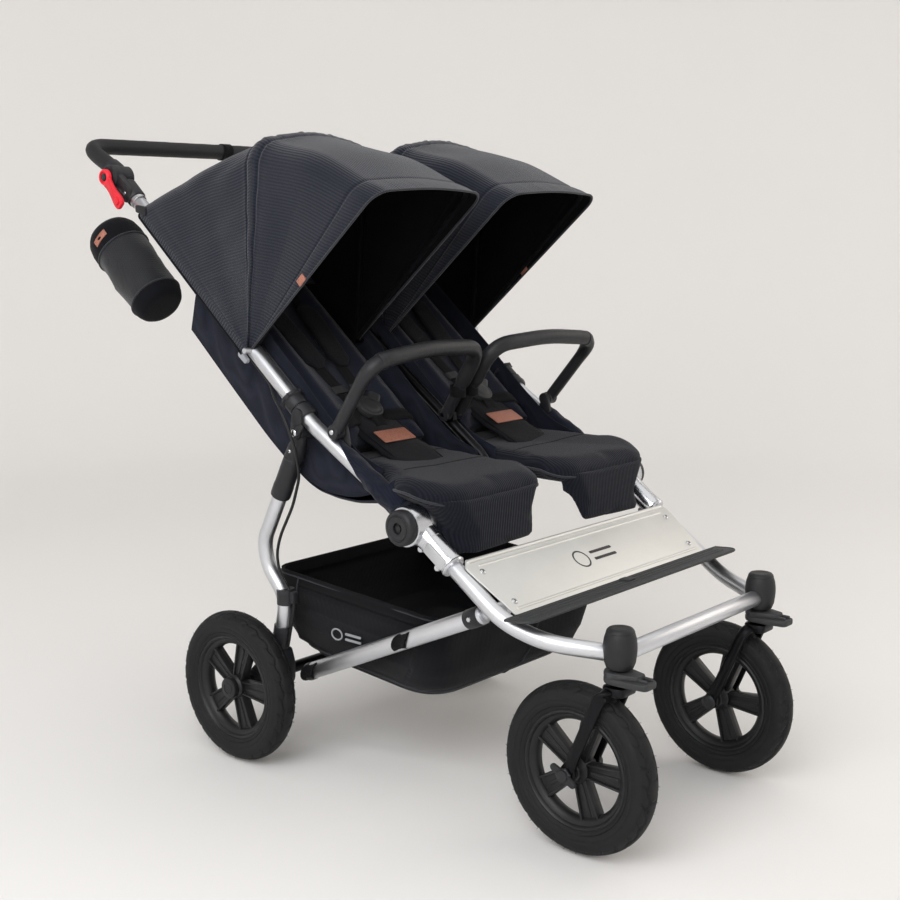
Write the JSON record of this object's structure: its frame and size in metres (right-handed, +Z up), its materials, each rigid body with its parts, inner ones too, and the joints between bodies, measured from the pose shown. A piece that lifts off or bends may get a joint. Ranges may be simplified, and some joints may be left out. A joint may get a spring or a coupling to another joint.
{
  "type": "double jogging stroller",
  "caption": "Folding side-by-side double jogging stroller with air tyres, swivelling front wheels, two canopied reclining seats, a basket and an adjustable push handle.",
  "frame": {"origin": "centre of the footprint box, on the ground under the tyres", "axes": "+Z up, +Y towards the push handle (rear), +X towards the left of the person pushing"},
  "size_m": [0.632, 1.2193, 1.0583],
  "materials": {
    "tyre_rubber": "black air tyre with moulded sidewall rings",
    "rim_plastic": "black moulded nylon",
    "fork_steel": "satin black powder coat",
    "axle_steel": "plain steel",
    "lever_plastic": "dark grey moulded plastic",
    "frame_silver": "silver satin anodised tube",
    "casting_polished": "polished casting",
    "plate_aluminium": "pale satin sheet",
    "joint_plastic": "black moulded plastic",
    "grip_foam": "black closed-cell foam",
    "bumper_leatherette": "black leatherette sleeve",
    "brake_red": "bright red moulded plastic",
    "cable_rubber": "black cable sleeve",
    "seat_fabric": "navy-black ribbed woven cloth",
    "canopy_fabric": "navy-black fine ribbed canopy cloth",
    "basket_fabric": "black woven cloth"
  },
  "bodies": {
    "front_frame": {"front_side_tube_left": "frame_silver", "front_side_tube_right": "frame_silver", "front_cross_tube": "frame_silver", "swivel_cap_left": "joint_plastic", "swivel_cap_right": "joint_plastic", "hinge_casting_left": "casting_polished", "hinge_casting_right": "casting_polished", "hinge_cover_left": "joint_plastic", "hinge_cover_right": "joint_plastic", "footplate": "plate_aluminium", "kick_plate": "lever_plastic"},
    "upper_frame": {"upper_tube_left": "frame_silver", "upper_tube_right": "frame_silver", "seat_spine": "fork_steel", "pivot_bracket_left": "joint_plastic", "pivot_bracket_right": "joint_plastic", "handle_joint_left": "joint_plastic", "handle_joint_right": "joint_plastic", "seat_base_left": "seat_fabric", "seat_base_right": "seat_fabric", "calf_rest_left": "seat_fabric", "calf_rest_right": "seat_fabric", "canopy_rear_left": "canopy_fabric", "canopy_rear_right": "canopy_fabric", "brake_cable": "cable_rubber", "bottle_holder": "basket_fabric"},
    "rear_legs": {"rear_leg_left": "frame_silver", "rear_leg_right": "frame_silver", "leg_socket_left": "joint_plastic", "leg_socket_right": "joint_plastic", "axle_bracket_left": "fork_steel", "axle_bracket_right": "fork_steel", "rear_axle": "fork_steel"},
    "lower_frame": {"lower_side_tube_left": "frame_silver", "lower_side_tube_right": "frame_silver", "basket": "basket_fabric"},
    "handle": {"handle_bar": "grip_foam"},
    "brake_lever": {"brake_lever": "brake_red"},
    "caster_left": {"front_fork_left": "fork_steel", "front_axle_left": "axle_steel"},
    "front_wheel_left": {"front_tyre_left": "tyre_rubber", "front_rim_left": "rim_plastic"},
    "rear_wheel_left": {"rear_tyre_left": "tyre_rubber", "rear_rim_left": "rim_plastic"},
    "swivel_lock_left": {"swivel_lock_left": "lever_plastic"},
    "canopy_left": {"canopy_front_left": "canopy_fabric"},
    "bumper_bar_left": {"bumper_bar_left": "bumper_leatherette"},
    "seat_back_left": {"seat_back_left": "seat_fabric"},
    "lock_collar_left": {"lock_collar_left": "joint_plastic"},
    "caster_right": {"front_fork_right": "fork_steel", "front_axle_right": "axle_steel"},
    "front_wheel_right": {"front_tyre_right": "tyre_rubber", "front_rim_right": "rim_plastic"},
    "rear_wheel_right": {"rear_tyre_right": "tyre_rubber", "rear_rim_right": "rim_plastic"},
    "swivel_lock_right": {"swivel_lock_right": "lever_plastic"},
    "canopy_right": {"canopy_front_right": "canopy_fabric"},
    "bumper_bar_right": {"bumper_bar_right": "bumper_leatherette"},
    "seat_back_right": {"seat_back_right": "seat_fabric"},
    "lock_collar_right": {"lock_collar_right": "joint_plastic"}
  },
  "joints": [
    {"name": "fold", "type": "hinge", "parent": "front_frame", "child": "upper_frame", "pos_m": [0, -0.22375, 0.463], "axis": [1, 0, 0], "range_deg": [0, 100], "deforming": ["seat_base_left", "seat_base_right", "calf_rest_left", "calf_rest_right"]},
    {"name": "leg_fold", "type": "hinge", "parent": "upper_frame", "child": "rear_legs", "pos_m": [0, 0.02125, 0.578], "axis": [1, 0, 0], "range_deg": [-27, 0], "deforming": ["brake_cable"]},
    {"name": "lower_tube_fold", "type": "hinge", "parent": "front_frame", "child": "lower_frame", "pos_m": [0, -0.36475, 0.353], "axis": [1, 0, 0], "range_deg": [0, 57]},
    {"name": "handle_angle", "type": "hinge", "parent": "upper_frame", "child": "handle", "pos_m": [0, 0.48925, 0.985], "axis": [1, 0, 0], "range_deg": [-40, 40]},
    {"name": "brake_lever_swing", "type": "hinge", "parent": "upper_frame", "child": "brake_lever", "pos_m": [-0.295, 0.48925, 0.985], "axis": [1, 0, 0], "range_deg": [-30, 0]},
    {"name": "caster_left_swivel", "type": "hinge", "parent": "front_frame", "child": "caster_left", "pos_m": [0.2, -0.54575, 0.28], "axis": [0, 0, 1], "continuous": true},
    {"name": "front_wheel_left_spin", "type": "hinge", "parent": "caster_left", "child": "front_wheel_left", "pos_m": [0.2, -0.48075, 0.129], "axis": [1, 0, 0], "continuous": true},
    {"name": "rear_wheel_left_spin", "type": "hinge", "parent": "rear_legs", "child": "rear_wheel_left", "pos_m": [0.293, 0.16625, 0.129], "axis": [1, 0, 0], "continuous": true},
    {"name": "swivel_lock_left_turn", "type": "hinge", "parent": "caster_left", "child": "swivel_lock_left", "pos_m": [0.2, -0.54575, 0.28], "axis": [0, 0, 1], "range_deg": [0, 30]},
    {"name": "canopy_left_fold", "type": "hinge", "parent": "upper_frame", "child": "canopy_left", "pos_m": [0.16, 0.13125, 0.702], "axis": [1, 0, 0], "range_deg": [-32, 0]},
    {"name": "bumper_bar_left_swing", "type": "hinge", "parent": "upper_frame", "child": "bumper_bar_left", "pos_m": [0.15, -0.06075, 0.587], "axis": [1, 0, 0], "range_deg": [0, 45]},
    {"name": "seat_left_recline", "type": "hinge", "parent": "upper_frame", "child": "seat_back_left", "pos_m": [0.142, 0.02625, 0.505], "axis": [1, 0, 0], "range_deg": [-16, 10]},
    {"name": "lock_collar_left_slide", "type": "slide", "parent": "upper_frame", "child": "lock_collar_left", "axis": [0, 0.7763, 0.6304], "range_m": [0, 0.012]},
    {"name": "caster_right_swivel", "type": "hinge", "parent": "front_frame", "child": "caster_right", "pos_m": [-0.2, -0.54575, 0.28], "axis": [0, 0, 1], "continuous": true},
    {"name": "front_wheel_right_spin", "type": "hinge", "parent": "caster_right", "child": "front_wheel_right", "pos_m": [-0.2, -0.48075, 0.129], "axis": [1, 0, 0], "continuous": true},
    {"name": "rear_wheel_right_spin", "type": "hinge", "parent": "rear_legs", "child": "rear_wheel_right", "pos_m": [-0.293, 0.16625, 0.129], "axis": [1, 0, 0], "continuous": true},
    {"name": "swivel_lock_right_turn", "type": "hinge", "parent": "caster_right", "child": "swivel_lock_right", "pos_m": [-0.2, -0.54575, 0.28], "axis": [0, 0, 1], "range_deg": [-30, 0]},
    {"name": "canopy_right_fold", "type": "hinge", "parent": "upper_frame", "child": "canopy_right", "pos_m": [-0.16, 0.13125, 0.702], "axis": [1, 0, 0], "range_deg": [-32, 0]},
    {"name": "bumper_bar_right_swing", "type": "hinge", "parent": "upper_frame", "child": "bumper_bar_right", "pos_m": [-0.15, -0.06075, 0.587], "axis": [1, 0, 0], "range_deg": [0, 45]},
    {"name": "seat_right_recline", "type": "hinge", "parent": "upper_frame", "child": "seat_back_right", "pos_m": [-0.142, 0.02625, 0.505], "axis": [1, 0, 0], "range_deg": [-16, 10]},
    {"name": "lock_collar_right_slide", "type": "slide", "parent": "upper_frame", "child": "lock_collar_right", "axis": [0, 0.7763, 0.6304], "range_m": [0, 0.012]}
  ],
  "couplings": [
    {"joint": "leg_fold", "follows": "fold", "ratio": -0.2697},
    {"joint": "lower_tube_fold", "follows": "fold", "ratio": 0.5651}
  ]
}
